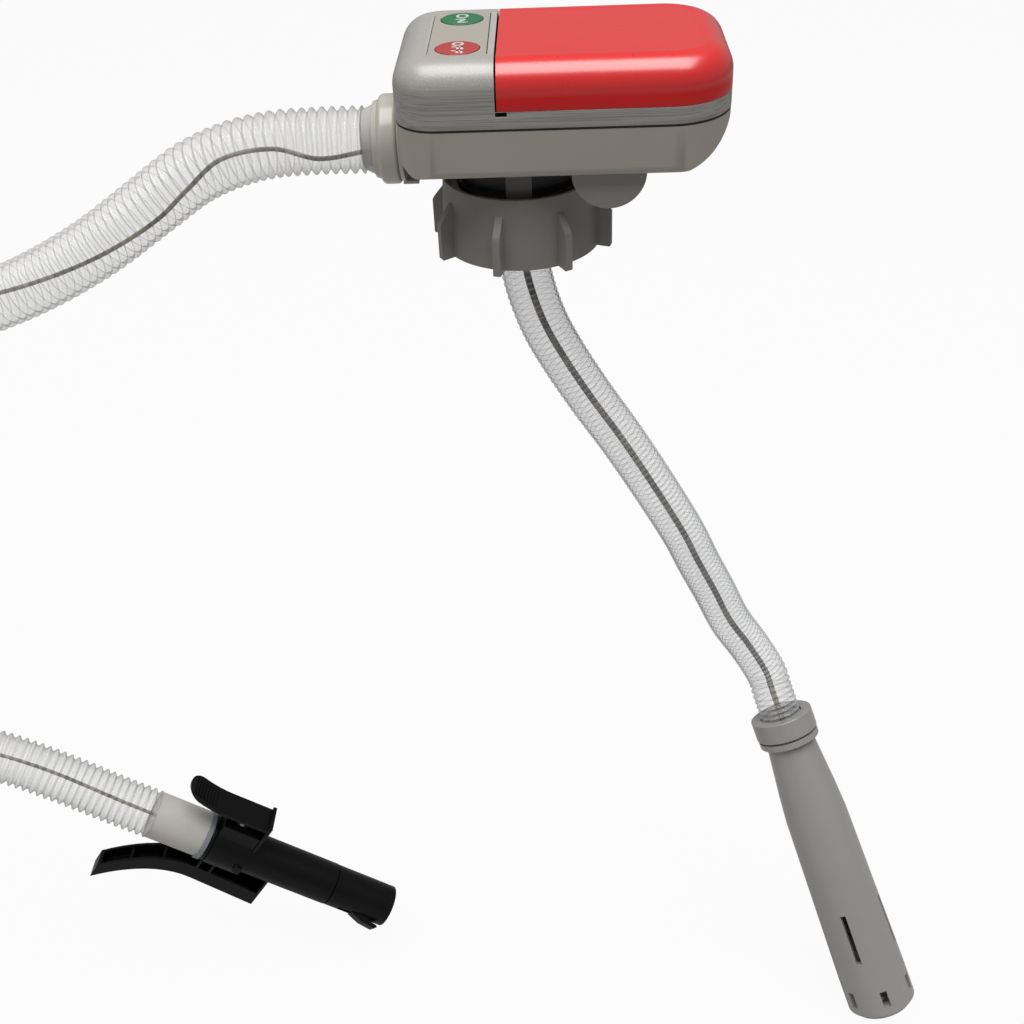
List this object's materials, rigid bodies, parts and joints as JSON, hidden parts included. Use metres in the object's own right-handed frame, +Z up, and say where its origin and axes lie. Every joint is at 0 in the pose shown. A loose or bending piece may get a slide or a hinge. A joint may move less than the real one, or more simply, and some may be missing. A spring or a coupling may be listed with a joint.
{
  "type": "battery transfer pump",
  "caption": "Battery-powered liquid transfer pump head on a screw cap, with a suction hose and motor foot, a clear ribbed discharge hose and a clip-on nozzle.",
  "frame": {"origin": "on the screw cap's axis at the underside of its gasket, where a tank's neck rim bears", "axes": "+X runs towards the battery end of the pump head, -Y towards the front, +Z up out of the tank along the cap's axis"},
  "size_m": [0.6779, 0.1415, 0.5356],
  "materials": {
    "lower_case": "smooth moulded",
    "upper_case": "fine grain",
    "battery_cover": "satin",
    "black_plastic": "moulded",
    "cell_sleeve": "shrink sleeve",
    "plated_steel": "nickel plated",
    "red_wire": "insulation",
    "steel": "plain",
    "panel": "smooth",
    "green": "satin",
    "red": "satin",
    "board": "solder mask",
    "ivory": "moulded",
    "rubber": "matt",
    "yellow_wire": "insulation",
    "cap_grey": "fine grain",
    "clear": "clear plastic",
    "grey_wire": "jacket",
    "frosted": "frosted plastic",
    "nozzle_black": "satin",
    "foot_grey": "smooth"
  },
  "bodies": {
    "pump": {"lower_case": "lower_case", "upper_case": "upper_case", "battery_tray": "black_plastic", "battery_cells": "cell_sleeve", "positive_contacts": "plated_steel", "negative_contacts": "plated_steel", "battery_leads": "red_wire", "case_screws": "steel", "button_panel": "panel", "control_board": "board", "tact_switches": "black_plastic", "board_screws": "steel", "flow_elbow": "ivory", "cable_gland": "rubber", "lead_wires": "yellow_wire", "neck_collar": "black_plastic", "cap_gasket": "rubber", "rest_tab": "cap_grey", "outlet_seal": "rubber", "hose_ferrule": "clear", "discharge_hose": "clear", "sensor_cable": "grey_wire", "nozzle_cuff": "frosted", "cuff_ring": "clear", "nozzle_tube": "nozzle_black", "nozzle_tip": "nozzle_black", "level_sensor": "black_plastic", "nozzle_grip": "nozzle_black", "clip_pin": "steel", "clip_spring": "steel", "suction_hose": "clear", "motor_cable": "grey_wire", "foot_nut": "foot_grey", "foot_seal": "rubber", "foot_housing": "foot_grey", "motor_housing": "ivory", "motor_can": "steel", "shaft_seal": "rubber", "pump_plate": "ivory", "foot_strainer": "foot_grey"},
    "cover": {"battery_cover": "battery_cover"},
    "on_key": {"on_button": "green"},
    "off_key": {"off_button": "red"},
    "cap": {"screw_cap": "cap_grey"},
    "nut": {"outlet_nut": "ivory"},
    "lever": {"clip_lever": "nozzle_black"},
    "rotor": {"motor_shaft": "steel", "impeller": "ivory"}
  },
  "joints": [
    {"name": "cover_slide", "type": "slide", "parent": "pump", "child": "cover", "axis": [1, 0, 0], "range_m": [0, 0.095]},
    {"name": "on_press", "type": "slide", "parent": "pump", "child": "on_key", "axis": [0, 0, -1], "range_m": [0, 0.0006], "stiffness_N_per_m": 800, "springref_m": -0.0004},
    {"name": "off_press", "type": "slide", "parent": "pump", "child": "off_key", "axis": [0, 0, -1], "range_m": [0, 0.0006], "stiffness_N_per_m": 800, "springref_m": -0.0004},
    {"name": "cap_turn", "type": "hinge", "parent": "pump", "child": "cap", "pos_m": [0, 0, 0], "axis": [0, 0, 1], "continuous": true},
    {"name": "nut_turn", "type": "hinge", "parent": "pump", "child": "nut", "pos_m": [-0.055, 0, 0.0257], "axis": [1, 0, 0], "continuous": true},
    {"name": "lever_pivot", "type": "hinge", "parent": "pump", "child": "lever", "pos_m": [-0.16938, -0.03, -0.35723], "axis": [0, -1, 0], "range_deg": [0, 12], "stiffness_Nm_per_rad": 0.25, "springref_deg": -9.74},
    {"name": "rotor_spin", "type": "hinge", "parent": "pump", "child": "rotor", "pos_m": [0.134, -0.006, -0.305], "axis": [-0.3247, 0.4262, 0.8443], "continuous": true}
  ]
}
